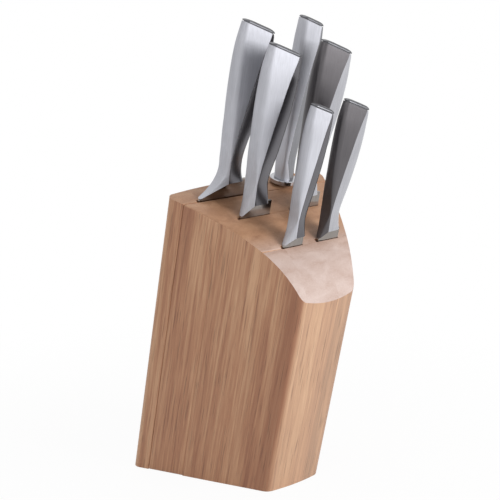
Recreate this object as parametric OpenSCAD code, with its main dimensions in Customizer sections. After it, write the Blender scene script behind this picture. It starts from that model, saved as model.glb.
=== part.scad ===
// Knife block with five knives and a sharpening steel.
// The block rests on z = 0. Its staves, slots and handles lean towards the front, which is -Y.

/* [Block] */
// Width of the front face
front_w = 52; // [44:1:60]
// Width of the back
rear_w = 160; // [136:1:180]
// Depth of the base from front to back
block_depth = 120; // [110:1:150]
// Height of the front face
front_h = 158; // [130:1:190]
// How far the whole block leans to the front, in degrees
lean = 13; // [8:1:16]
// How far the front face bows out
front_bow = 1.5; // [0.5:0.5:4]
// How far the back bows out
rear_bow = 6; // [1:0.5:10]
// Radius of the upright edges at the front
front_edge_r = 8; // [4:1:12]
// Radius of the upright edges at the back
rear_edge_r = 6; // [4:1:12]

/* [Top curve] */
// Radius of the steep front part of the top
top_front_r = 118; // [100:1:124]
// Slope of the top where it meets the front face, in degrees
slope_front = 60; // [57:1:62]
// Slope where the steep part runs into the flatter part, in degrees
slope_mid = 33; // [31:1:36]
// Slope at the back, in degrees
slope_rear = 15; // [10:1:20]

/* [Slots] */
// Distance of the front slot row from the front of the base
row_front_d = 35.5; // [30:0.5:44]
// Distance of the middle slot row
row_mid_d = 69.5; // [62:0.5:76]
// Distance of the rear slot row
row_rear_d = 97.5; // [92:0.5:102]
// Gap between a blade and each wall of its slot
slot_clear = 0.4; // [0.3:0.1:0.6]
// Free length of a slot beyond the heel of the blade
slot_over = 2; // [1.5:0.5:3]
// Free depth of a slot below the tip of the blade
slot_end = 1; // [0.5:0.5:3]

/* [Blades] */
// Thickness of the blades
blade_t = 2; // [1.5:0.1:2.6]
// Width of the tang inside a handle
tang_w = 6; // [5:0.5:7]
// Length of the tang inside a handle
tang_l = 45; // [30:1:60]
// Height of the two bevels along the cutting edge
bevel_w = 5; // [3:0.5:7]

/* [Chef knife, rear left] */
// Blade length
chef_blade_l = 200; // [160:1:205]
// Blade width at the heel
chef_blade_w = 43; // [36:1:43]
// Place of the blade's back across the block
chef_x = -14; // [-18:1:-12]
// Handle length
chef_handle_l = 125; // [100:1:135]
// Height of blade shown between handle and block
chef_rise = 13; // [10:0.5:16]

/* [Bread knife, middle left] */
// Blade length
bread_blade_l = 195; // [150:1:200]
// Blade width at the heel
bread_blade_w = 28; // [25:1:32]
// Place of the blade's back across the block
bread_x = -10; // [-12:1:-8]
// Handle length
bread_handle_l = 123; // [100:1:135]
// Height of blade shown between handle and block
bread_rise = 11; // [9:0.5:14]

/* [Carving knife, middle right] */
// Blade length
carving_blade_l = 195; // [150:1:200]
// Blade width at the heel
carving_blade_w = 27; // [24:1:32]
// Place of the blade's back across the block
carving_x = 40; // [38:1:43]
// Handle length
carving_handle_l = 123; // [100:1:135]
// Height of blade shown between handle and block
carving_rise = 11; // [9:0.5:14]

/* [Paring knife, front left] */
// Blade length
paring_blade_l = 90; // [70:1:110]
// Blade width at the heel
paring_blade_w = 18.5; // [16:0.5:21]
// Place of the blade's back across the block
paring_x = -3.5; // [-6:0.5:-2]
// Handle length
paring_handle_l = 103; // [85:1:112]
// Height of blade shown between handle and block
paring_rise = 8; // [7:0.5:11]

/* [Utility knife, front right] */
// Blade length
utility_blade_l = 130; // [100:1:150]
// Blade width at the heel
utility_blade_w = 20.5; // [18:0.5:25]
// Place of the blade's back across the block
utility_x = 33; // [31:1:34]
// Handle length
utility_handle_l = 104; // [90:1:115]
// Height of blade shown between handle and block
utility_rise = 8; // [7:0.5:11]

/* [Handles] */
// Width of a large handle
handle_w = 28; // [26:1:30]
// Thickness of a large handle
handle_t = 16; // [13:0.5:18]
// Width of the paring knife's handle
paring_handle_w = 19; // [18:0.5:21]
// Width of the utility knife's handle
utility_handle_w = 23; // [21:0.5:25]
// Thickness of the two small handles
small_handle_t = 13; // [11:0.5:15]
// How far the paring knife's handle stands out behind the blade's back
paring_handle_back = 3; // [1:0.5:4]
// How far the utility knife's handle stands out behind the blade's back
utility_handle_back = 2; // [1:0.5:4]
// Thickness of the end caps
cap_t = 2.4; // [1.6:0.2:4]
// How steeply the butts fall to the back of the knife, in degrees
butt_slant = 20; // [10:1:24]
// Share of the thickness left at the narrow sides of the knife handles
side_share = 0.45; // [0.4:0.05:0.7]

/* [Sharpening steel] */
// Radius of the rod
rod_r = 4.5; // [3.5:0.1:5]
// Length of the rod below the collar
rod_l = 195; // [150:1:200]
// Gap around the rod in its hole
rod_clear = 0.5; // [0.3:0.1:0.8]
// Place of the rod across the block
steel_x = 31; // [27:1:34]
// Distance of the rod from the joint between the two rear staves
steel_back = 6.5; // [6:0.5:8]
// Radius of the flat collar
collar_r = 11; // [10:0.5:12]
// Thickness of the flat collar
collar_t = 4; // [3:0.5:6]
// Length of the steel's handle above its collar
steel_handle_l = 131; // [110:1:140]
// Width of the steel's handle
steel_handle_w = 20; // [18:1:22]
// Height of the collar's edge above the wood
collar_lift = 1.5; // [1.4:0.1:2.4]

/* [Hidden] */
$fn = 64;

// The top curve: a steep arc at the front that runs on into a flatter one
arc_one_d = top_front_r * (sin(slope_front) - sin(slope_mid));
top_rear_r = (block_depth - arc_one_d) / (sin(slope_mid) - sin(slope_rear));
arc_one_h = front_h + top_front_r * (cos(slope_mid) - cos(slope_front));
function arc_rise(r, s, d) = r * (cos(asin(sin(s) - d / r)) - cos(s));
function top_h(d) = d < arc_one_d
    ? front_h + arc_rise(top_front_r, slope_front, d)
    : arc_one_h + arc_rise(top_rear_r, slope_mid, d - arc_one_d);

// Places in the leaning frame: y across the staves, z along them
function row_y(d) = (d - block_depth / 2) * cos(lean);
function seat_z(y) = (top_h(block_depth / 2 + y / cos(lean)) - y * sin(lean)) / cos(lean);
front_y = row_y(0);
rear_y = row_y(block_depth);
row_front_y = row_y(row_front_d);
row_mid_y = row_y(row_mid_d);
row_rear_y = row_y(row_rear_d);
slot_t = blade_t + 2 * slot_clear;
tall = 420;
wide = 2 * rear_w;

// A rounded corner at b between the lines to a and c
function corner(a, b, c, r, n = 6) =
    let (u = (a - b) / norm(a - b), v = (c - b) / norm(c - b),
         half = acos(u * v) / 2,
         mid = b + (u + v) / norm(u + v) * r / sin(half),
         from = b + u * r / tan(half) - mid,
         to = b + v * r / tan(half) - mid,
         start = atan2(from[1], from[0]),
         turn = (atan2(to[1], to[0]) - start + 540) % 360 - 180)
    [for (i = [0:n]) mid + r * [cos(start + turn * i / n), sin(start + turn * i / n)]];

// Points between a and b on a shallow bow that bulges to the right of the way from a to b
function bow(a, b, rise, n = 8) =
    let (along = (b - a) / norm(b - a), out = [along[1], -along[0]])
    [for (i = [1:n - 1]) let (t = i / n) a + (b - a) * t + out * rise * 4 * t * (1 - t)];

module plan() {
    fl = [-front_w / 2, front_y + front_bow];
    fr = [front_w / 2, front_y + front_bow];
    rr = [rear_w / 2, rear_y - rear_bow];
    rl = [-rear_w / 2, rear_y - rear_bow];
    front_left = corner(rl, fl, fr, front_edge_r);
    front_right = corner(fl, fr, rr, front_edge_r);
    rear_right = corner(fr, rr, rl, rear_edge_r);
    rear_left = corner(rr, rl, fl, rear_edge_r);
    last = len(front_left) - 1;
    polygon(concat(front_left, bow(front_left[last], front_right[0], front_bow), front_right,
                   rear_right, bow(rear_right[last], rear_left[0], rear_bow), rear_left));
}

// Everything below the top curve, as wide as the block
module under_top() {
    run_on = 6;
    steps = 16;
    function at(d, h) = [d - block_depth / 2 - h * tan(lean), h];
    low_h = front_h - run_on * tan(slope_front);
    high_h = top_h(block_depth) + run_on * tan(slope_rear);
    first = [for (i = [0:steps]) let (d = arc_one_d * i / steps) at(d, top_h(d))];
    second = [for (i = [1:steps]) let (d = arc_one_d + (block_depth - arc_one_d) * i / steps)
              at(d, top_h(d))];
    rotate([90, 0, 90]) linear_extrude(wide, center = true)
        polygon(concat([[-block_depth, 0], [-block_depth, low_h], at(-run_on, low_h)], first, second,
                       [at(block_depth + run_on, high_h), [block_depth, high_h], [block_depth, 0]]));
}

module stave(y_from, y_to) {
    intersection() {
        rotate([lean, 0, 0]) translate([0, 0, -tall / 4]) linear_extrude(tall)
            intersection() {
                plan();
                translate([-wide / 2, y_from]) square([wide, y_to - y_from]);
            }
        under_top();
    }
}

// A slot milled into the face of the stave behind a row, open to the stave in front of it
module slot(x, y, w, blade_l, rise) {
    z = seat_z(y) + rise - blade_l - slot_end;
    rotate([lean, 0, 0]) translate([x - w - slot_over, y - slot_t, z])
        cube([w + slot_over + slot_clear, 2 * slot_t, tall]);
}

module board_front() color("#b98f6d") stave(front_y - front_bow - 1, row_front_y);

module board_mid_front() color("#a57e60") difference() {
    stave(row_front_y, row_mid_y);
    slot(paring_x, row_front_y, paring_blade_w, paring_blade_l, paring_rise);
    slot(utility_x, row_front_y, utility_blade_w, utility_blade_l, utility_rise);
}

module board_mid_rear() color("#9b765f") difference() {
    stave(row_mid_y, row_rear_y);
    slot(bread_x, row_mid_y, bread_blade_w, bread_blade_l, bread_rise);
    slot(carving_x, row_mid_y, carving_blade_w, carving_blade_l, carving_rise);
}

module board_rear() color("#a37c63") difference() {
    stave(row_rear_y, rear_y + rear_bow + 1);
    slot(chef_x, row_rear_y, chef_blade_w, chef_blade_l, chef_rise);
    rotate([lean, 0, 0]) translate([steel_x, steel_y, collar_z - rod_l - slot_end])
        cylinder(r = rod_r + rod_clear, h = tall);
}

// A blade hangs from z = 0 at the foot of its handle, with its back at x = 0 and its edge at -x.
// The point lies under the back when drop is small, and curve sets how full the edge is.
module blade_plate(w, l, drop, curve, clear = 0) {
    n = 14;
    edge = [for (i = [0:n]) let (t = i / n)
            [-w + (w - drop) * pow(t, curve) - clear, -l * (1 - pow(1 - t, 1.4))]];
    rotate([90, 0, 0]) linear_extrude(blade_t + 2 * clear, center = true)
        polygon(concat([[clear, 0]], edge, [[-drop, -l], [clear, -l * 0.72]]));
}

module blade(w, l, drop, curve, rise, grip_w, back_x = 0) color("#c4c6ca") {
    heel_w = grip_w * 0.9 - back_x;
    difference() {
        union() {
            blade_plate(w, l, drop, curve);
            translate([tang_from(grip_w, back_x), -blade_t / 2, -1]) cube([tang_w, blade_t, tang_l + 1]);
        }
        // the heel corner runs down from the handle to the wood
        rotate([90, 0, 0]) linear_extrude(blade_t * 2, center = true)
            polygon([[-w - 1, 1], [-heel_w, 1], [-heel_w, 0], [-w, -rise], [-w - 1, -rise]]);
        // two bevels along the cutting edge
        for (side = [-1, 1]) bevel(w, l, rise, side);
    }
}

// The ground edge takes a thin wedge off each side of the blade's straight part
module bevel(w, l, rise, side) {
    long = l * 0.5 - rise;
    lip = 0.25;
    translate([-w, side * lip, -rise - long]) linear_extrude(long)
        polygon([[-1, 0], [0, 0], [bevel_w, side * (blade_t / 2 - lip)],
                 [bevel_w, side * (blade_t / 2 + 1)], [-1, side * (blade_t / 2 + 1)]]);
}

// The tang runs up the middle of the handle's neck, and this is its side towards the edge
function tang_from(grip_w, back_x) = back_x + grip_w * (GRIP[1][1] + GRIP[1][2]) / 2 - tang_w / 2;

// The heel of a bolster stays this far above the middle of its slot
heel_lift = 1.4;

// A cross-section of a handle: thin at both narrow sides, with a ridge on each broad face.
// The ridge lies at the share r of the way from the cutting side to the back.
module section(x_from, x_to, thick, r, z, thin = 0.62) {
    ridge = x_from + (x_to - x_from) * r;
    edge_cut = thin + (1 - thin) * (1 - r);
    back_cut = thin + (1 - thin) * r;
    translate([0, 0, z]) linear_extrude(0.02)
        polygon([[x_from, -thick / 2 * edge_cut], [ridge, -thick / 2], [x_to, -thick / 2 * back_cut],
                 [x_to, thick / 2 * back_cut], [ridge, thick / 2], [x_from, thick / 2 * edge_cut]]);
}

// Stations of a handle as [share of its length, cutting side, back, thickness, place of the ridge]
GRIP = [[0.00, -0.92, -0.20, 0.80, 0.05],
        [0.14, -0.84, -0.28, 0.84, 0.08],
        [0.35, -0.93, -0.10, 0.94, 0.30],
        [0.60, -0.99, 0.06, 1.00, 0.50],
        [0.85, -0.98, 0.11, 0.98, 0.70],
        [1.00, -0.88, 0.10, 0.88, 0.90]];

module grip_section(i, w, t, l, z = 0)
    section(GRIP[i][1] * w, GRIP[i][2] * w, GRIP[i][3] * t, GRIP[i][4], GRIP[i][0] * l + z, side_share);

// Tilts the top of a handle about its highest corner, at x and z
module butt(x, z) translate([x, 0, z]) rotate([0, butt_slant, 0]) translate([-x, 0, -z]) children();

// The handle stands on z = 0 over the back part of the blade, and its wedge reaches to the heel
module handle(w, t, l, blade_w, rise, back_x) color("#b9bbbf") {
    last = len(GRIP) - 1;
    body_l = l - cap_t;
    heel_x = -blade_w - back_x;
    difference() {
        translate([back_x, 0, 0]) union() {
            for (i = [0:last - 2]) hull() {
                grip_section(i, w, t, body_l);
                grip_section(i + 1, w, t, body_l);
            }
            hull() {
                grip_section(last - 1, w, t, body_l);
                butt(GRIP[last][1] * w, body_l) grip_section(last, w, t, body_l);
            }
            hull() {
                translate([GRIP[0][1] * w, -t * 0.4, 0]) cube([w * 0.16, t * 0.8, 0.02]);
                translate([GRIP[1][1] * w, -t * 0.4, l * 0.1]) cube([2, t * 0.8, 0.02]);
                translate([heel_x, -blade_t / 2 - 0.8, heel_lift - rise]) cube([1.5, blade_t + 1.6, 1]);
            }
        }
        translate([-blade_w - 2, -blade_t / 2, -rise - 1]) cube([blade_w + 4, blade_t, rise + 1]);
        translate([tang_from(w, back_x), -blade_t / 2, -1]) cube([tang_w, blade_t, tang_l + 1]);
    }
}

module end_cap(w, t, l, back_x) color("#8f9195") translate([back_x, 0, 0]) {
    last = len(GRIP) - 1;
    body_l = l - cap_t;
    butt(GRIP[last][1] * w, body_l) hull() {
        translate([0, 0, 0.02]) grip_section(last, w, t, body_l);
        section((GRIP[last][1] + 0.08) * w, (GRIP[last][2] - 0.06) * w,
                GRIP[last][3] * t * 0.7, GRIP[last][4], l - 0.02, side_share);
    }
}

// Puts a knife piece over its slot
module at_slot(x, y, rise) rotate([lean, 0, 0]) translate([x, y + slot_t / 2, seat_z(y + slot_t / 2) + rise])
    children();

module chef_blade() at_slot(chef_x, row_rear_y, chef_rise)
    blade(chef_blade_w, chef_blade_l, 3, 2.6, chef_rise, handle_w);
module chef_handle() at_slot(chef_x, row_rear_y, chef_rise)
    handle(handle_w, handle_t, chef_handle_l, chef_blade_w, chef_rise, 0);
module chef_end_cap() at_slot(chef_x, row_rear_y, chef_rise)
    end_cap(handle_w, handle_t, chef_handle_l, 0);

module bread_blade() at_slot(bread_x, row_mid_y, bread_rise)
    blade(bread_blade_w, bread_blade_l, 8, 6, bread_rise, handle_w);
module bread_handle() at_slot(bread_x, row_mid_y, bread_rise)
    handle(handle_w, handle_t, bread_handle_l, bread_blade_w, bread_rise, 0);
module bread_end_cap() at_slot(bread_x, row_mid_y, bread_rise)
    end_cap(handle_w, handle_t, bread_handle_l, 0);

module carving_blade() at_slot(carving_x, row_mid_y, carving_rise)
    blade(carving_blade_w, carving_blade_l, 3, 3.4, carving_rise, handle_w);
module carving_handle() at_slot(carving_x, row_mid_y, carving_rise)
    handle(handle_w, handle_t, carving_handle_l, carving_blade_w, carving_rise, 0);
module carving_end_cap() at_slot(carving_x, row_mid_y, carving_rise)
    end_cap(handle_w, handle_t, carving_handle_l, 0);

module paring_blade() at_slot(paring_x, row_front_y, paring_rise)
    blade(paring_blade_w, paring_blade_l, 2, 2.6, paring_rise, paring_handle_w, paring_handle_back);
module paring_handle() at_slot(paring_x, row_front_y, paring_rise)
    handle(paring_handle_w, small_handle_t, paring_handle_l, paring_blade_w, paring_rise,
           paring_handle_back);
module paring_end_cap() at_slot(paring_x, row_front_y, paring_rise)
    end_cap(paring_handle_w, small_handle_t, paring_handle_l, paring_handle_back);

module utility_blade() at_slot(utility_x, row_front_y, utility_rise)
    blade(utility_blade_w, utility_blade_l, 2, 3, utility_rise, utility_handle_w,
          utility_handle_back);
module utility_handle() at_slot(utility_x, row_front_y, utility_rise)
    handle(utility_handle_w, small_handle_t, utility_handle_l, utility_blade_w, utility_rise,
           utility_handle_back);
module utility_end_cap() at_slot(utility_x, row_front_y, utility_rise)
    end_cap(utility_handle_w, small_handle_t, utility_handle_l, utility_handle_back);

// The steel stands in its own round hole, behind the joint of the two rear staves
steel_y = row_rear_y + steel_back;
collar_z = seat_z(steel_y) + collar_lift;
neck_r = rod_r + 2.2;
module at_steel(z = 0) rotate([lean, 0, 0]) translate([steel_x, steel_y, collar_z + z]) children();

module steel_rod() color("#a4a6aa") at_steel() {
    tip = 6;
    rotate_extrude() polygon([[0, tang_l], [rod_r, tang_l], [rod_r, tip - rod_l], [1, -rod_l], [0, -rod_l]]);
}

module steel_collar() color("#c4c6ca") at_steel() rotate_extrude()
    polygon([[rod_r, 0], [collar_r - 0.6, 0], [collar_r, 0.6], [collar_r, collar_t - 0.6],
             [collar_r - 0.6, collar_t], [neck_r, collar_t], [rod_r, collar_t]]);

module steel_handle() color("#b9bbbf") at_steel(collar_t) {
    body_l = steel_handle_l - cap_t;
    half = steel_handle_w / 2;
    difference() {
        union() {
            hull() {
                cylinder(r = neck_r, h = 0.02, $fn = 24);
                section(-half * 0.72, half * 0.72, steel_handle_w * 0.62, 0.14, body_l * 0.12);
            }
            hull() {
                section(-half * 0.72, half * 0.72, steel_handle_w * 0.62, 0.14, body_l * 0.12);
                section(-half, half, steel_handle_w * 0.78, 0.5, body_l * 0.6);
            }
            hull() {
                section(-half, half, steel_handle_w * 0.78, 0.5, body_l * 0.6);
                butt(-half * 0.92, body_l)
                    section(-half * 0.92, half * 0.92, steel_handle_w * 0.72, 0.9, body_l);
            }
        }
        translate([0, 0, -1]) cylinder(r = rod_r, h = tang_l - collar_t + 1);
    }
}

module steel_end_cap() color("#8f9195") at_steel(collar_t) {
    half = steel_handle_w / 2;
    body_l = steel_handle_l - cap_t;
    butt(-half * 0.92, body_l) hull() {
        section(-half * 0.92, half * 0.92, steel_handle_w * 0.72, 0.9, body_l + 0.02);
        section(-half * 0.8, half * 0.8, steel_handle_w * 0.52, 0.9, steel_handle_l - 0.02);
    }
}

board_front();
board_mid_front();
board_mid_rear();
board_rear();
chef_blade();
chef_handle();
chef_end_cap();
bread_blade();
bread_handle();
bread_end_cap();
carving_blade();
carving_handle();
carving_end_cap();
paring_blade();
paring_handle();
paring_end_cap();
utility_blade();
utility_handle();
utility_end_cap();
steel_rod();
steel_collar();
steel_handle();
steel_end_cap();
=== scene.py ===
import math

import bpy
from mathutils import Matrix, Vector


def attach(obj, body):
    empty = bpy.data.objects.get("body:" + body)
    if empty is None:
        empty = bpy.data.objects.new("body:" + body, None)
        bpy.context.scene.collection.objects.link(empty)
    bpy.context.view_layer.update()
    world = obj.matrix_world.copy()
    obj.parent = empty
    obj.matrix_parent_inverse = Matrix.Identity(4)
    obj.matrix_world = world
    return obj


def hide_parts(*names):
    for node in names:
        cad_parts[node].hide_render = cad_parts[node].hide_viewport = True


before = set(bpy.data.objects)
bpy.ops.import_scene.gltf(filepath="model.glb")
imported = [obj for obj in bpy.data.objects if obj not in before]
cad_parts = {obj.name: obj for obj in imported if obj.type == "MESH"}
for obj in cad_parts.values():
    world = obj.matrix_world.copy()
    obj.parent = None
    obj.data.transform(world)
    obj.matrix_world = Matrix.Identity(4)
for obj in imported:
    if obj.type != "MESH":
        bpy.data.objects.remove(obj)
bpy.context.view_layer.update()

# ---------------------------------------------------------------- the block's sizes, in metres

LEAN = math.radians(13.0)
BLOCK_DEPTH = 0.120
FRONT_W = 0.052
REAR_W = 0.160
FRONT_BOW = 0.0015
REAR_BOW = 0.006
EDGE_ROUND = 0.0016
SHARP_ANGLE = math.radians(32.0)
SMOOTH_ANGLE = math.radians(30.0)
STAVES = ("board_front", "board_mid_front", "board_mid_rear", "board_rear")

# How far from the front, the back, a side or a glue joint an edge still belongs to it
FRONT_REACH = 0.004
REAR_REACH = 0.012
SIDE_REACH = 0.0025
JOINT_REACH = 1e-5

# Points of a copied node nearer than this become one, and faces nearer in angle become one
MERGE_REACH = 1e-6
FLAT_ANGLE = math.radians(0.4)

# ---------------------------------------------------------------- the knives' sizes, in metres

TANG_LENGTH = 0.045

# Each knife: handle width, handle thickness, how far it stands out behind the blade, blade shown
KNIVES = {
    "chef": (0.028, 0.016, 0.0, 0.013),
    "bread": (0.028, 0.016, 0.0, 0.011),
    "carving": (0.028, 0.016, 0.0, 0.011),
    "paring": (0.019, 0.013, 0.003, 0.008),
    "utility": (0.023, 0.013, 0.002, 0.008),
}
RIGHT_HAND = ("carving", "utility")

# Stations of a handle: share of its length, cutting side, back, thickness, place of the ridge
GRIP = (
    (0.00, -0.92, -0.20, 0.80, 0.05),
    (0.14, -0.84, -0.28, 0.84, 0.08),
    (0.35, -0.93, -0.10, 0.94, 0.30),
    (0.60, -0.99, 0.06, 1.00, 0.50),
    (0.85, -0.98, 0.11, 0.98, 0.70),
    (1.00, -0.88, 0.10, 0.88, 0.90),
)
FOOT_RINGS = 9
GRIP_RINGS = 30
CORNER_POINTS = 5
# How far each corner of a handle is eased, and how thick its edges are beside its ridge
CORNER_ROUNDS = (0.0040, 0.0009, 0.0032, 0.0032, 0.0009, 0.0040)
THIN = 0.45
# The most of a side that the easing of one corner may take
EASE_LIMIT = 0.45
# Points of a skin nearer than this are sewn together
SEAM_REACH = 2e-6
# Half widths of the underside of the bolster, from its middle plane out, as shares of the full one
UNDERSIDE = (0.0, 0.5, 0.93)
# Corners under the bolster, as shares of the handle's width and thickness
FOOT_CUT = (-0.76, 0.40)
FOOT_BACK = (-0.20, 0.34)
HEEL_HALF = 0.0018
HEEL_LIFT = 0.0016
HEEL_FROM = 0.8
# A heel longer than this share of the handle's width sweeps out in a stronger curve
LONG_HEEL = 1.3
LONG_HEEL_CURVE = 2.6
SHORT_HEEL_CURVE = 1.3

# The butts fall towards the back of the knife, over the last part of the handle
BUTT_SLANT = math.radians(20.0)
SLANT_FROM = 0.7

CAP_THICKNESS = 0.0024
CAP_GROOVE = 0.0005
CAP_RIM = 0.0003
CAP_DOME = 0.5
DOME_RINGS = 8
RIM_INSET = 0.985
GRIP_GROOVE_INSET = 0.93
CAP_GROOVE_INSET = 0.9
CAP_SMOOTH_ANGLE = math.radians(40.0)

# ---------------------------------------------------------------- the sharpening steel's sizes

STEEL_NECK = 0.0067
STEEL_THIN = 0.62
STEEL_ROUNDS = (0.0040, 0.0014, 0.0040, 0.0040, 0.0014, 0.0040)
STEEL_RINGS = 8
STEEL_UNDERSIDE = (0.0, 0.6)
# Stations over the neck: share of the length, width, thickness, place of the ridge
STEEL_GRIP = (
    (0.12, 0.72, 0.62, 0.2),
    (0.60, 1.00, 0.78, 0.5),
    (0.88, 1.00, 0.78, 0.8),
    (1.00, 0.92, 0.72, 0.9),
)
ROD_RIBS = 60.0

# ---------------------------------------------------------------- colours and finishes

WHITE = (1.0, 1.0, 1.0, 1.0)

# Wood colours from 0 to 255, each with its place in the grain
LONG_GRAIN = (
    (0.34, (126, 84, 62)),
    (0.44, (156, 112, 86)),
    (0.53, (178, 135, 104)),
    (0.66, (206, 170, 136)),
)
PALE_END = ((0.3, (172, 144, 131)), (0.5, (189, 166, 156)), (0.7, (202, 183, 175)))
# A darker, golden end grain: painted shade where the front handles shadow the top, with their warm
# reflected light.
SHADED_END_GRAIN = ((0.3, (148, 106, 77)), (0.5, (171, 128, 97)), (0.7, (189, 148, 116)))
# A pale tint for the front face: painted light from the key softbox.
FRONT_LIGHT_PAINT = (202, 172, 144)
FRONT_LIGHT_PAINT_SHARE = 0.4
CORNER_TINT = (150, 100, 74)
CORNER_TINT_SHARE = 0.6
RED_LEAN = (1.03, 0.93, 0.90)
PORE_DEPTH = 0.34
WOOD_ROUGHNESS = 0.42
WOOD_ROUGHNESS_SPREAD = 0.16

# The strips that a stave is glued up from, and how each row of them is offset, in strip widths
STRIP_WIDTH = 0.031
STRIP_WANDER = 0.004
STRIP_OFFSET = 0.62
ROW_OFFSET = 0.37
TONE_SPREAD = 0.22

# Where the wood changes across the staves, from the front back, with painted light on the front face and
# painted shade on the top behind the handles, and how upright the cut top is
FRONT_FACE = (-0.0570, -0.0545)
FRONT_CORNER = (-0.050, -0.040)
TOP_SHADE_REACH = (-0.036, -0.006)
TOP_FACING = (0.3, 0.5)

# Each steel finish: colour, lowest and highest roughness, depth of its scratches, metal
STEEL_FINISHES = {
    "satin_steel": ((0.56, 0.565, 0.61), 0.54, 0.66, 0.12, 0.7),
    # A darker copy of satin_steel: painted shade on the broad faces of the right-hand knives.
    "satin_painted_shade": ((0.135, 0.127, 0.134), 0.36, 0.50, 0.12, 0.8),
    # Three copies of one polish that differ only in colour: painted shade on the left-hand knives' second
    # faces, a half-lit copy for the sharpening steel, and painted light on the right-hand knives.
    "polish_painted_shade": ((0.17, 0.165, 0.18), 0.16, 0.24, 0.04, 1.0),
    "polish_painted_half_light": ((0.30, 0.30, 0.32), 0.16, 0.24, 0.04, 1.0),
    "polish_painted_light": ((0.56, 0.56, 0.60), 0.16, 0.24, 0.04, 1.0),
    "cap_steel": ((0.14, 0.14, 0.15), 0.3, 0.4, 0.12, 1.0),
    "blade_steel": ((0.33, 0.30, 0.28), 0.09, 0.14, 0.04, 1.0),
    "collar_steel": ((0.55, 0.55, 0.58), 0.12, 0.2, 0.04, 1.0),
}
# The darkest streaks of a finish, as a share of its colour
SHADED = 0.74

# ---------------------------------------------------------------- studio and camera

# Each softbox: name, azimuth, elevation, distance, size, power
SOFTBOXES = (
    ("key", 24, 14, 1.4, (0.7, 0.7), 15),
    ("fill", -80, 25, 1.5, (0.9, 0.9), 3),
    ("top", 150, 70, 1.4, (0.8, 0.6), 3),
)
SOFTBOX_AIM = Vector((0, 0, 0.18))
ROOM_STRENGTH = 0.42
FLOOR_SIZE = 6.0
FLOOR_COLOUR = (0.86, 0.86, 0.86, 1.0)
# The share of plain white seen on the floor, and how far out it fades to all white
FLOOR_WHITE = 0.95
FLOOR_FADE = (0.12, 0.45)

CAMERA_AZIMUTH = -40.26
CAMERA_PITCH = 13.91
CAMERA_DISTANCE = 0.926
CAMERA_SIDE = 0.0035
CAMERA_HEIGHT = 0.1787
SENSOR_WIDTH = 36.0
FOCAL_SHARE = 2.343


# ---------------------------------------------------------------- places in the leaning frame


def unleaned(point):
    """A point measured across and along the staves."""
    x, y, z = point
    return Vector((x, y * math.cos(LEAN) + z * math.sin(LEAN), z * math.cos(LEAN) - y * math.sin(LEAN)))


def leaned_box(node):
    """Lowest and highest place of a CAD node, measured across and along the staves."""
    places = [unleaned(v.co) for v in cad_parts[node].data.vertices]
    low = Vector([min(p[i] for p in places) for i in range(3)])
    high = Vector([max(p[i] for p in places) for i in range(3)])
    return low, high


# The joint in front of each stave but the first lies where that stave begins
glue_joints = [leaned_box(node)[0].y for node in STAVES[1:]]


# ---------------------------------------------------------------- node sheets


class Field:
    """A value that varies over a surface. Arithmetic on it adds Math nodes."""

    def __init__(self, sheet, socket):
        self.sheet = sheet
        self.socket = socket

    def __add__(self, other):
        return self.sheet.math("ADD", self, other)

    def __radd__(self, other):
        return self.sheet.math("ADD", other, self)

    def __sub__(self, other):
        return self.sheet.math("SUBTRACT", self, other)

    def __rsub__(self, other):
        return self.sheet.math("SUBTRACT", other, self)

    def __mul__(self, other):
        return self.sheet.math("MULTIPLY", self, other)

    def __rmul__(self, other):
        return self.sheet.math("MULTIPLY", other, self)

    def __truediv__(self, other):
        return self.sheet.math("DIVIDE", self, other)

    def floor(self):
        return self.sheet.math("FLOOR", self)

    def above(self, limit):
        return self.sheet.math("GREATER_THAN", self, limit)

    def step(self, low, high):
        """0 below low, 1 above high, smooth between them."""
        settings = {"interpolation_type": "SMOOTHSTEP"}
        values = {"Value": self, "From Min": low, "From Max": high}
        return self.sheet.node("ShaderNodeMapRange", settings, values)


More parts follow.
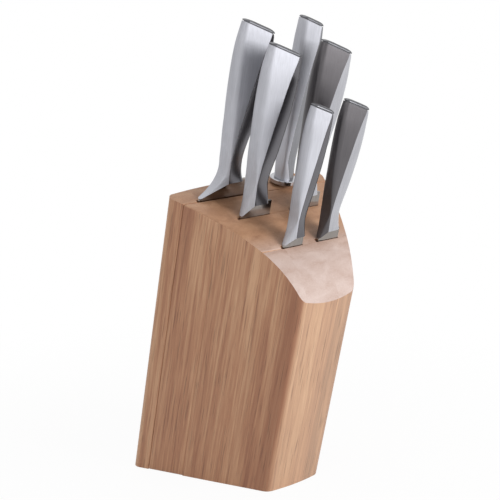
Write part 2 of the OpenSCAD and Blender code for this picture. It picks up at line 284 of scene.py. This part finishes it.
class Sheet:
    """A node tree, with short ways to add nodes."""

    def __init__(self, tree):
        self.tree = tree

    def node(self, kind, settings=None, values=(), out=0):
        made = self.tree.nodes.new(kind)
        for key, value in (settings or {}).items():
            if key == "stops":
                self.set_stops(made.color_ramp, value)
            else:
                setattr(made, key, value)
        pairs = values.items() if isinstance(values, dict) else enumerate(values)
        for key, value in pairs:
            self.join(value, made.inputs[key])
        return Field(self, made.outputs[out])

    def join(self, value, socket):
        if isinstance(value, Field):
            self.tree.links.new(value.socket, socket)
        else:
            socket.default_value = value

    def set_stops(self, ramp, stops):
        while len(ramp.elements) < len(stops):
            ramp.elements.new(0.5)
        for element, (place, colour) in zip(ramp.elements, stops):
            element.position = place
            element.color = (*colour, 1.0)

    def math(self, operation, *values):
        return self.node("ShaderNodeMath", {"operation": operation}, values)

    def vector(self, operation, *values):
        return self.node("ShaderNodeVectorMath", {"operation": operation}, values)

    def ramp(self, value, *stops):
        return self.node("ShaderNodeValToRGB", {"stops": stops}, {"Fac": value})

    def mix(self, share, first, second):
        return self.node("ShaderNodeMix", {"data_type": "RGBA"}, {0: share, 6: first, 7: second}, out=2)

    def shade(self, colour, amount):
        """A colour multiplied by a number that varies."""
        return self.node("ShaderNodeVectorMath", {"operation": "SCALE"}, {0: colour, "Scale": amount})

    def noise(self, place, scale, detail, roughness=0.5, distortion=0.0):
        values = {"Vector": place, "Scale": scale, "Detail": detail, "Roughness": roughness,
                  "Distortion": distortion}
        return self.node("ShaderNodeTexNoise", {}, values)

    def streaks(self, place, across, along, detail, roughness=0.5, distortion=0.0):
        """Noise drawn out along the wood and the handles."""
        stretched = self.vector("MULTIPLY", place, (across, across, along))
        return self.noise(stretched, 1.0, detail, roughness, distortion)

    def along_staves(self):
        """Object coordinates turned so that z runs along the wood and the handles."""
        place = self.node("ShaderNodeTexCoord", out=3)
        return self.node("ShaderNodeMapping", {}, {"Vector": place, "Rotation": (-LEAN, 0.0, 0.0)})

    def parts(self, place):
        return [self.node("ShaderNodeSeparateXYZ", {}, (place,), out=i) for i in range(3)]

    def seen_ray(self):
        """1 for what is seen straight, mirrored or through glass, and 0 for the light on things."""
        camera, glossy, glass = (self.node("ShaderNodeLightPath", out=name)
                                 for name in ("Is Camera Ray", "Is Glossy Ray", "Is Transmission Ray"))
        return self.math("MAXIMUM", self.math("MAXIMUM", camera, glossy), glass)


class Finish(Sheet):
    """One material with its Principled shader."""

    def __init__(self, name, **constants):
        self.material = bpy.data.materials.new(name)
        self.material.use_nodes = True
        super().__init__(self.material.node_tree)
        self.shader = self.tree.nodes["Principled BSDF"]
        self.surface(**constants)

    def surface(self, **values):
        for socket, value in values.items():
            self.join(value, self.shader.inputs[socket.replace("_", " ")])

    def bump(self, height, strength, distance):
        values = {"Height": height, "Strength": strength, "Distance": distance}
        self.surface(Normal=self.node("ShaderNodeBump", {}, values))


def srgb(red, green, blue):
    """A linear colour from the usual 0 to 255 values."""

    def linear(value):
        share = value / 255.0
        return share / 12.92 if share <= 0.04045 else ((share + 0.055) / 1.055) ** 2.4

    return (linear(red), linear(green), linear(blue))


# ---------------------------------------------------------------- the wood


def wood_ramp(sheet, value, stops):
    return sheet.ramp(value, *((place, srgb(*colour)) for place, colour in stops))


def glued_strips(sheet, place, x, y):
    """The tone of each strip that a stave is glued up from, and a place shifted for each strip."""
    layer = y.above(glue_joints[0]) + y.above(glue_joints[1]) + y.above(glue_joints[2])
    wander = sheet.streaks(place, across=3.0, along=1.2, detail=1.0) * STRIP_WANDER
    strip = ((x + wander) / STRIP_WIDTH + layer * ROW_OFFSET + STRIP_OFFSET).floor()
    seed = sheet.node("ShaderNodeCombineXYZ", {}, (strip, layer, 3.0))
    tone = sheet.node("ShaderNodeTexWhiteNoise", {"noise_dimensions": "3D"}, {"Vector": seed})
    return tone, sheet.vector("ADD", place, seed)


def long_grain(sheet, grain, tone, pores, y):
    """Colour along the fibres, with painted light that makes the front face paler, and deeper at its
    corners.
    """
    colour = wood_ramp(sheet, grain + tone * TONE_SPREAD - TONE_SPREAD / 2, LONG_GRAIN)
    reddish = sheet.vector("MULTIPLY", colour, RED_LEAN)
    colour = sheet.mix(tone.step(0.35, 0.65), colour, reddish)
    # painted light: the front face is made paler
    front_face = 1.0 - y.step(*FRONT_FACE)
    colour = sheet.mix(front_face * FRONT_LIGHT_PAINT_SHARE, colour, (*srgb(*FRONT_LIGHT_PAINT), 1.0))
    corner = (1.0 - y.step(*FRONT_CORNER)) * (1.0 - front_face)
    colour = sheet.mix(corner * CORNER_TINT_SHARE, colour, (*srgb(*CORNER_TINT), 1.0))
    return sheet.shade(colour, 1.0 - pores * PORE_DEPTH)


def end_grain(sheet, shifted, y):
    """Colour across the fibres: fine speckle and faint rings, pale in front and darker and golden behind,
    where painted shade stands for the handles' shadows with their warm reflected light.
    """
    ring_place = sheet.vector("MULTIPLY", shifted, (60.0, 140.0, 10.0))
    rings = sheet.noise(ring_place, scale=1.0, detail=2.0, distortion=0.6)
    speckle = sheet.noise(shifted, scale=1300.0, detail=2.0, roughness=0.7)
    speckled = rings * 0.55 + speckle * 0.45
    pale = wood_ramp(sheet, speckled, PALE_END)
    shaded_end = wood_ramp(sheet, speckled, SHADED_END_GRAIN)
    # painted shade: the top turns darker and golden towards the back
    return sheet.mix(y.step(*TOP_SHADE_REACH), pale, shaded_end)


def cut_top(sheet):
    """1 on the top, where the staves are cut across, and 0 on the sides."""
    normal = sheet.node("ShaderNodeTexCoord", out=1)
    up = (0.0, -math.sin(LEAN), math.cos(LEAN))
    facing = sheet.node("ShaderNodeVectorMath", {"operation": "DOT_PRODUCT"}, (normal, up), out=1)
    return facing.step(*TOP_FACING)


def wood_finish():
    """Oiled hardwood staves: long grain on the sides, end grain on the cut top."""
    sheet = Finish("oiled_hardwood")
    place = sheet.along_staves()
    x, y, _ = sheet.parts(place)
    tone, shifted = glued_strips(sheet, place, x, y)
    bands = sheet.streaks(shifted, across=110.0, along=4.5, detail=3.0, roughness=0.6, distortion=0.5)
    fibres = sheet.streaks(shifted, across=620.0, along=20.0, detail=3.0, roughness=0.65)
    pores = sheet.streaks(shifted, across=1000.0, along=34.0, detail=2.0).step(0.58, 0.70)
    broad = sheet.streaks(shifted, across=34.0, along=1.4, detail=1.0)
    grain = bands * 0.40 + fibres * 0.36 + broad * 0.24
    along = long_grain(sheet, grain, tone, pores, y)
    across = end_grain(sheet, shifted, y)
    roughness = WOOD_ROUGHNESS + fibres * WOOD_ROUGHNESS_SPREAD
    sheet.surface(Base_Color=sheet.mix(cut_top(sheet), along, across), Roughness=roughness)
    sheet.bump(fibres * 0.6 - pores * 0.5 + bands * 0.3, strength=0.35, distance=0.0004)
    return sheet.material


# ---------------------------------------------------------------- the steel


def brushed_finish(name, colour, low, high, scratches, metal):
    """Stainless steel with fine lines along the handle."""
    sheet = Finish(name, Metallic=metal)
    place = sheet.along_staves()
    lines = sheet.streaks(place, across=1500.0, along=30.0, detail=2.0, roughness=0.6)
    clouds = sheet.noise(place, scale=38.0, detail=2.0)
    tint = sheet.ramp(lines * 0.55 + clouds * 0.45, (0.3, [c * SHADED for c in colour]), (0.7, colour))
    sheet.surface(Base_Color=tint, Roughness=low + (lines * 0.6 + clouds * 0.4) * (high - low))
    sheet.bump(lines, strength=scratches, distance=0.0001)
    return sheet.material


def rod_finish():
    """The fine lengthwise ribs of a sharpening steel, with painted shade in the grooves between them."""
    sheet = Finish("ribbed_steel", Metallic=1.0, Roughness=0.32)
    x, y, _ = sheet.parts(sheet.along_staves())
    low, high = leaned_box("steel_rod")
    middle = (low + high) / 2
    turn = sheet.math("ARCTAN2", x - middle.x, y - middle.y)
    ribs = sheet.math("SINE", turn * ROD_RIBS)
    # the colour is darker in the grooves between the ribs: painted shade
    sheet.surface(Base_Color=sheet.ramp(ribs * 0.5 + 0.5, (0.0, (0.3, 0.3, 0.31)), (0.8, (0.6, 0.6, 0.62))))
    sheet.bump(ribs, strength=0.5, distance=0.0003)
    return sheet.material


# ---------------------------------------------------------------- modelling helpers


def only(piece):
    """Selects one object and nothing else."""
    bpy.ops.object.select_all(action="DESELECT")
    piece.select_set(True)
    bpy.context.view_layer.objects.active = piece


def edit(piece):
    """Opens a piece in edit mode with all of it selected."""
    only(piece)
    bpy.ops.object.mode_set(mode="EDIT")
    bpy.ops.mesh.select_all(action="SELECT")


def done(piece, smooth_angle=SMOOTH_ANGLE):
    """Leaves edit mode and shades the piece smooth up to an angle."""
    bpy.ops.object.mode_set(mode="OBJECT")
    only(piece)
    bpy.ops.object.shade_smooth_by_angle(angle=smooth_angle)


def dress(piece, *finishes):
    """Gives a piece its materials."""
    piece.data.materials.clear()
    for finish in finishes:
        piece.data.materials.append(finish)


def copy_of_node(node, name):
    """A merged copy of a CAD node's mesh as a new piece."""
    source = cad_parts[node]
    piece = bpy.data.objects.new(name, source.data.copy())
    bpy.context.scene.collection.objects.link(piece)
    edit(piece)
    bpy.ops.mesh.remove_doubles(threshold=MERGE_REACH)
    bpy.ops.mesh.dissolve_limited(angle_limit=FLAT_ANGLE)
    bpy.ops.object.mode_set(mode="OBJECT")
    return piece


def sleeve(name, rings):
    """A skin through rings of points. Its two ends are already drawn together."""
    around = len(rings[0])
    bpy.ops.object.select_all(action="DESELECT")
    bpy.ops.mesh.primitive_grid_add(x_subdivisions=around, y_subdivisions=len(rings) - 1, size=1.0)
    piece = bpy.context.active_object
    piece.name = name
    points = [ring[i % around] for ring in rings for i in range(around + 1)]
    for vertex, point in zip(piece.data.vertices, points):
        vertex.co = point
    return piece


def close_skin(piece, smooth_angle=SMOOTH_ANGLE):
    """Merges the seam and the ends of a sleeve and turns its faces outwards."""
    edit(piece)
    bpy.ops.mesh.remove_doubles(threshold=SEAM_REACH)
    bpy.ops.mesh.select_all(action="SELECT")
    bpy.ops.mesh.normals_make_consistent(inside=False)
    done(piece, smooth_angle)


# ---------------------------------------------------------------- the block


def side_half_width(y):
    """Half the width of the block at a place across the staves."""
    front = -BLOCK_DEPTH / 2 * math.cos(LEAN) + FRONT_BOW
    rear = BLOCK_DEPTH / 2 * math.cos(LEAN) - REAR_BOW
    return FRONT_W / 2 + (REAR_W - FRONT_W) / 2 * (y - front) / (rear - front)


def is_outer_edge(first, second):
    """Whether an edge lies on the outside of the block, away from slots and glue joints."""
    a = unleaned(first)
    b = unleaned(second)
    for joint in glue_joints:
        if abs(a.y - joint) < JOINT_REACH and abs(b.y - joint) < JOINT_REACH:
            return False
    middle = (a + b) / 2
    front = -BLOCK_DEPTH / 2 * math.cos(LEAN)
    inside = abs(middle.x) < side_half_width(middle.y) - SIDE_REACH
    return not (inside and front + FRONT_REACH < middle.y < -front - REAR_REACH)


def stave(node, wood):
    """One stave, with the outer edges eased as on sanded wood."""
    piece = copy_of_node(node, node.replace("board", "stave"))
    edit(piece)
    bpy.ops.mesh.select_all(action="DESELECT")
    bpy.ops.mesh.select_mode(type="EDGE")
    bpy.ops.mesh.edges_select_sharp(sharpness=SHARP_ANGLE)
    bpy.ops.object.mode_set(mode="OBJECT")
    vertices = piece.data.vertices
    for edge in piece.data.edges:
        first, second = (vertices[i].co for i in edge.vertices)
        edge.select = edge.select and is_outer_edge(first, second)
    bpy.ops.object.mode_set(mode="EDIT")
    bpy.ops.mesh.bevel(offset=EDGE_ROUND, segments=3, profile=0.6, clamp_overlap=True)
    done(piece)
    dress(piece, wood)
    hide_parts(node)
    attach(piece, "block")


# ---------------------------------------------------------------- rings of a handle


def between_stations(share):
    """Handle values at a share of its length, on a smooth curve through the stations."""
    for i in range(len(GRIP) - 1):
        if share <= GRIP[i + 1][0] or i == len(GRIP) - 2:
            break
    before = GRIP[max(i - 1, 0)]
    start = GRIP[i]
    end = GRIP[i + 1]
    after = GRIP[min(i + 2, len(GRIP) - 1)]
    t = (share - start[0]) / (end[0] - start[0])
    values = []
    for k in range(1, 5):
        slope_a = (end[k] - before[k]) / (end[0] - before[0]) * (end[0] - start[0])
        slope_b = (after[k] - start[k]) / (after[0] - start[0]) * (end[0] - start[0])
        values.append(
            start[k] * (2 * t**3 - 3 * t**2 + 1)
            + slope_a * (t**3 - 2 * t**2 + t)
            + end[k] * (3 * t**2 - 2 * t**3)
            + slope_b * (t**3 - t**2)
        )
    return values


def six_corners(cut_x, ridge_x, back_x, half, ridge, thin, z):
    """Corners from the front of the cutting side round to its back. Edges far from the ridge are thin."""
    cut_half = half * (thin + (1 - thin) * (1 - ridge))
    back_half = half * (thin + (1 - thin) * ridge)
    front = [(cut_x, -cut_half, z), (ridge_x, -half, z), (back_x, -back_half, z)]
    return [Vector(p) for p in front + [(x, -y, up) for x, y, up in reversed(front)]]


def grip_corners(share, w, t, z):
    """The six corners of a knife handle's section."""
    cut, back, thick, ridge = between_stations(share)
    ridge_x = (cut + (back - cut) * ridge) * w
    return six_corners(cut * w, ridge_x, back * w, thick * t / 2, ridge, THIN, z)


def foot_corners(g, w, t, length, heel, rise):
    """Corners between the underside of the bolster, g = 0, and the first station above it, g = 1."""
    top = grip_corners(GRIP[1][0], w, t, GRIP[1][0] * length)
    reach = 1 - (1 - g) ** (LONG_HEEL_CURVE if heel < -LONG_HEEL * w else SHORT_HEEL_CURVE)
    bottom = [
        (heel, -HEEL_HALF, HEEL_LIFT - rise),
        (FOOT_CUT[0] * w, -FOOT_CUT[1] * t, 0.0),
        (FOOT_BACK[0] * w, -FOOT_BACK[1] * t, 0.0),
    ]
    bottom += [(x, -y, z) for x, y, z in reversed(bottom)]
    corners = []
    for low, high in zip(bottom, top):
        low = Vector(low)
        place = low + (high - low) * g
        place.x = low.x + (high.x - low.x) * reach
        place.y = low.y + (high.y - low.y) * (g if abs(low.x) > HEEL_FROM * w else reach)
        corners.append(place)
    return corners


def rounded(corners, rounds=CORNER_ROUNDS):
    """A ring through the corners with each corner eased by its own amount."""
    ring = []
    count = len(corners)
    for i, corner in enumerate(corners):
        reach_back = corners[i - 1] - corner
        reach_on = corners[(i + 1) % count] - corner
        size = min(rounds[i], reach_back.length * EASE_LIMIT, reach_on.length * EASE_LIMIT)
        start = corner + reach_back.normalized() * size
        end = corner + reach_on.normalized() * size
        for k in range(CORNER_POINTS):
            t = k / (CORNER_POINTS - 1)
            ring.append(start * (1 - t) ** 2 + corner * 2 * t * (1 - t) + end * t**2)
    return ring


def flattened(ring, share):
    """The ring drawn towards the middle plane of the blade, and onto it at 0."""
    return [Vector((p.x, p.y * share, p.z)) for p in ring]


def drawn_in(ring, share, rise=0.0):
    """The ring drawn towards its own middle, and raised."""
    middle = sum(ring, Vector()) / len(ring)
    return [middle + (p - middle) * share + Vector((0, 0, rise)) for p in ring]


def slanted(ring, pivot, share=1.0):
    """The ring tilted about a corner, so that it falls towards the back of the knife."""
    part = min(max((share - SLANT_FROM) / (1 - SLANT_FROM), 0.0), 1.0)
    turn = Matrix.Rotation(BUTT_SLANT * part, 3, "Y")
    return [pivot + turn @ (p - pivot) for p in ring]


def butt_groove(rim, pivot):
    """The last rings of a handle, drawn in to leave a groove under its cap."""
    edge = slanted(drawn_in(rim, RIM_INSET, -CAP_GROOVE), pivot)
    inner = slanted(drawn_in(rim, GRIP_GROOVE_INSET, -CAP_GROOVE), pivot)
    return [edge, inner, flattened(inner, 0.0)]


def cap_rings(rim, pivot):
    """A low dome over the rim of a handle, with a groove under it."""
    under = drawn_in(rim, CAP_GROOVE_INSET, -CAP_GROOVE)
    rings = [flattened(under, 0.0), under, drawn_in(rim, CAP_GROOVE_INSET), drawn_in(rim, RIM_INSET)]
    rings.append(drawn_in(rim, 1.0, CAP_RIM))
    for i in range(1, DOME_RINGS + 1):
        turn = math.pi / 2 * i / DOME_RINGS
        rise = CAP_RIM + (CAP_THICKNESS - CAP_GROOVE) * math.sin(turn)
        rings.append(drawn_in(rim, 1 - CAP_DOME + CAP_DOME * math.cos(turn), rise))
    rings.append(flattened(rings[-1], 0.0))
    return [slanted(ring, pivot) for ring in rings]


# ---------------------------------------------------------------- handles and caps


def mark_polished(piece, around, first_ring, last_ring):
    """Gives the faces behind the ridge the second finish."""
    behind = range(CORNER_POINTS + 2, 4 * CORNER_POINTS + 2)
    for row in range(first_ring, last_ring):
        for column in behind:
            piece.data.polygons[row * around + column].material_index = 1


def place_in_slot(piece, origin):
    """Moves a piece modelled at its own foot to its place in the block, in its mesh."""
    piece.data.transform(Matrix.Rotation(LEAN, 4, "X") @ Matrix.Translation(origin))


def knife_place(knife):
    """Foot of the handle, its length to the cap, and the heel, from the CAD node's boxes."""
    back = KNIVES[knife][2]
    blade_low, blade_high = leaned_box(f"{knife}_blade")
    foot = blade_high.z - TANG_LENGTH
    length = leaned_box(f"{knife}_handle")[1].z - foot
    origin = (blade_high.x + back, (blade_low.y + blade_high.y) / 2, foot)
    return origin, length, blade_low.x - blade_high.x - back


def grip_piece(name, rings, under_rings, finishes, origin):
    """A handle through its rings, satin in front of the ridge and polished behind it."""
    piece = sleeve(name, rings)
    dress(piece, *finishes)
    mark_polished(piece, len(rings[0]), under_rings, len(rings) - 3)
    place_in_slot(piece, origin)
    close_skin(piece)
    return piece


def cap_piece(name, rim, pivot, cap_steel, origin):
    """A low domed cap with a dark groove under its rim."""
    piece = sleeve(name, cap_rings(rim, pivot))
    place_in_slot(piece, origin)
    close_skin(piece, CAP_SMOOTH_ANGLE)
    dress(piece, cap_steel)
    return piece


def handle(knife, *finishes):
    """A knife's handle, from the underside of its bolster to the groove under its cap."""
    w, t, _, rise = KNIVES[knife]
    origin, length, heel = knife_place(knife)
    foot = [rounded(foot_corners(i / FOOT_RINGS, w, t, length, heel, rise)) for i in range(FOOT_RINGS)]
    rings = [flattened(foot[0], share) for share in UNDERSIDE] + foot
    for i in range(GRIP_RINGS):
        share = GRIP[1][0] + (1 - GRIP[1][0]) * i / GRIP_RINGS
        cut_edge = Vector((between_stations(share)[0] * w, 0.0, share * length))
        rings.append(slanted(rounded(grip_corners(share, w, t, share * length)), cut_edge, share))
    rim = rounded(grip_corners(1.0, w, t, length))
    rings += butt_groove(rim, Vector((GRIP[-1][1] * w, 0.0, length)))
    piece = grip_piece(f"{knife}_grip", rings, len(UNDERSIDE), finishes, origin)
    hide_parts(f"{knife}_handle")
    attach(piece, f"{knife}_knife")


def end_cap(knife, cap_steel):
    """The cap of a knife's handle."""
    w, t, _, _ = KNIVES[knife]
    origin, length, _ = knife_place(knife)
    rim = rounded(grip_corners(1.0, w, t, length))
    pivot = Vector((GRIP[-1][1] * w, 0.0, length))
    piece = cap_piece(f"{knife}_butt", rim, pivot, cap_steel, origin)
    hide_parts(f"{knife}_end_cap")
    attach(piece, f"{knife}_knife")


# ---------------------------------------------------------------- the sharpening steel


def steel_ring(half_x, half_y, ridge, z):
    """A ring of the sharpening steel's handle, which is the same on both sides of its axis."""
    corners = six_corners(-half_x, half_x * (2 * ridge - 1), half_x, half_y, ridge, STEEL_THIN, z)
    return rounded(corners, STEEL_ROUNDS)


def steel_grip(satin, polished, cap_steel):
    """The sharpening steel's handle and its cap, standing on the collar."""
    low, high = leaned_box("steel_handle")
    collar_low, collar_high = leaned_box("steel_collar")
    middle = (collar_low + collar_high) / 2
    origin = (middle.x, middle.y, collar_high.z)
    length = high.z - collar_high.z
    half = (high.x - low.x) / 2
    stations = [(0.0, STEEL_NECK, STEEL_NECK, 0.5)]
    stations += [(share, half * wide, half * thick, ridge) for share, wide, thick, ridge in STEEL_GRIP]
    rings = []
    for a, b in zip(stations, stations[1:]):
        for i in range(STEEL_RINGS):
            s = i / STEEL_RINGS
            s = s * s * (3 - 2 * s)
            share, half_x, half_y, ridge = (p + (q - p) * s for p, q in zip(a, b))
            edge = Vector((-half_x, 0.0, share * length))
            rings.append(slanted(steel_ring(half_x, half_y, ridge, share * length), edge, share))
    rim = steel_ring(*stations[-1][1:], length)
    pivot = Vector((-stations[-1][1], 0.0, length))
    under = [flattened(rings[0], share) for share in STEEL_UNDERSIDE]
    rings = under + rings + butt_groove(rim, pivot)
    piece = grip_piece("steel_grip", rings, len(under), (satin, polished), origin)
    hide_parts("steel_handle")
    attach(piece, "steel")

    butt = cap_piece("steel_butt", rim, pivot, cap_steel, origin)
    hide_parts("steel_end_cap")
    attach(butt, "steel")


# ---------------------------------------------------------------- studio


def studio_floor():
    """A pale floor that shows the object's shadow and fades to white."""
    bpy.ops.object.select_all(action="DESELECT")
    bpy.ops.mesh.primitive_plane_add(size=FLOOR_SIZE, location=(0, 0, 0))
    floor = bpy.context.active_object
    floor.name = "studio_floor"
    sheet = Finish("pale_floor", Base_Color=FLOOR_COLOUR, Roughness=0.9)
    place = sheet.node("ShaderNodeTexCoord", out=3)
    reach = sheet.node("ShaderNodeVectorMath", {"operation": "LENGTH"}, {0: place}, out=1)
    glow = sheet.node("ShaderNodeEmission", {}, {"Color": WHITE, "Strength": 1.0})
    lit = Field(sheet, sheet.shader.outputs[0])
    share = sheet.seen_ray() * (FLOOR_WHITE + reach.step(*FLOOR_FADE) * (1 - FLOOR_WHITE))
    blend = sheet.node("ShaderNodeMixShader", {}, {0: share, 1: lit, 2: glow})
    sheet.join(blend, sheet.tree.nodes["Material Output"].inputs["Surface"])
    dress(floor, sheet.material)


def studio_world():
    """White behind the object and in its reflections, and a soft grey room for light."""
    world = bpy.data.worlds.new("studio")
    bpy.context.scene.world = world
    world.use_nodes = True
    sheet = Sheet(world.node_tree)
    room = sheet.node("ShaderNodeBackground", {}, {"Color": WHITE, "Strength": ROOM_STRENGTH})
    white = sheet.node("ShaderNodeBackground", {}, {"Color": WHITE, "Strength": 1.0})
    blend = sheet.node("ShaderNodeMixShader", {}, {0: sheet.seen_ray(), 1: room, 2: white})
    sheet.join(blend, sheet.tree.nodes["World Output"].inputs["Surface"])


def direction(azimuth, elevation):
    """From the object towards a place in the room. Azimuth 0 is in front, at -Y, and 90 at +X."""
    a = math.radians(azimuth)
    e = math.radians(elevation)
    return Vector((math.sin(a) * math.cos(e), -math.cos(a) * math.cos(e), math.sin(e)))


def stand_in_room(name, data, place, back):
    """Adds a lamp or camera at a place, looking away from its back."""
    thing = bpy.data.objects.new(name, data)
    bpy.context.scene.collection.objects.link(thing)
    thing.location = place
    thing.rotation_mode = "QUATERNION"
    thing.rotation_quaternion = back.to_track_quat("Z", "Y")
    return thing


def softbox(name, azimuth, elevation, distance, size, power):
    """A soft rectangular lamp that looks at the object."""
    data = bpy.data.lights.new(name, "AREA")
    data.shape = "RECTANGLE"
    data.size, data.size_y = size
    data.energy = power
    back = direction(azimuth, elevation)
    stand_in_room(name, data, SOFTBOX_AIM + back * distance, back)


def main_camera():
    """The camera, in front of the block and towards -X."""
    data = bpy.data.cameras.new("main_camera")
    data.sensor_width = SENSOR_WIDTH
    data.lens = SENSOR_WIDTH * FOCAL_SHARE
    back = direction(CAMERA_AZIMUTH, CAMERA_PITCH)
    right = direction(CAMERA_AZIMUTH + 90.0, 0.0)
    place = right * CAMERA_SIDE + Vector((0, 0, CAMERA_HEIGHT)) + back * CAMERA_DISTANCE
    bpy.context.scene.camera = stand_in_room("main_camera", data, place, back)


# ---------------------------------------------------------------- assembly

main_camera()
studio_floor()
studio_world()
for box in SOFTBOXES:
    softbox(*box)
bpy.context.scene.view_settings.view_transform = "Standard"

wood = wood_finish()
steel = {name: brushed_finish(name, *values) for name, values in STEEL_FINISHES.items()}

for node in STAVES:
    stave(node, wood)
for knife in KNIVES:
    # the two right-hand knives get painted shade in front of the ridge and painted light behind it
    if knife in RIGHT_HAND:
        handle(knife, steel["satin_painted_shade"], steel["polish_painted_light"])
    else:
        handle(knife, steel["satin_steel"], steel["polish_painted_shade"])
    end_cap(knife, steel["cap_steel"])
    dress(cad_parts[f"{knife}_blade"], steel["blade_steel"])
# the sharpening steel's second face takes the half-lit copy of the polish, painted light
steel_grip(steel["satin_steel"], steel["polish_painted_half_light"], steel["cap_steel"])
dress(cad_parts["steel_rod"], rod_finish())
dress(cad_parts["steel_collar"], steel["collar_steel"])
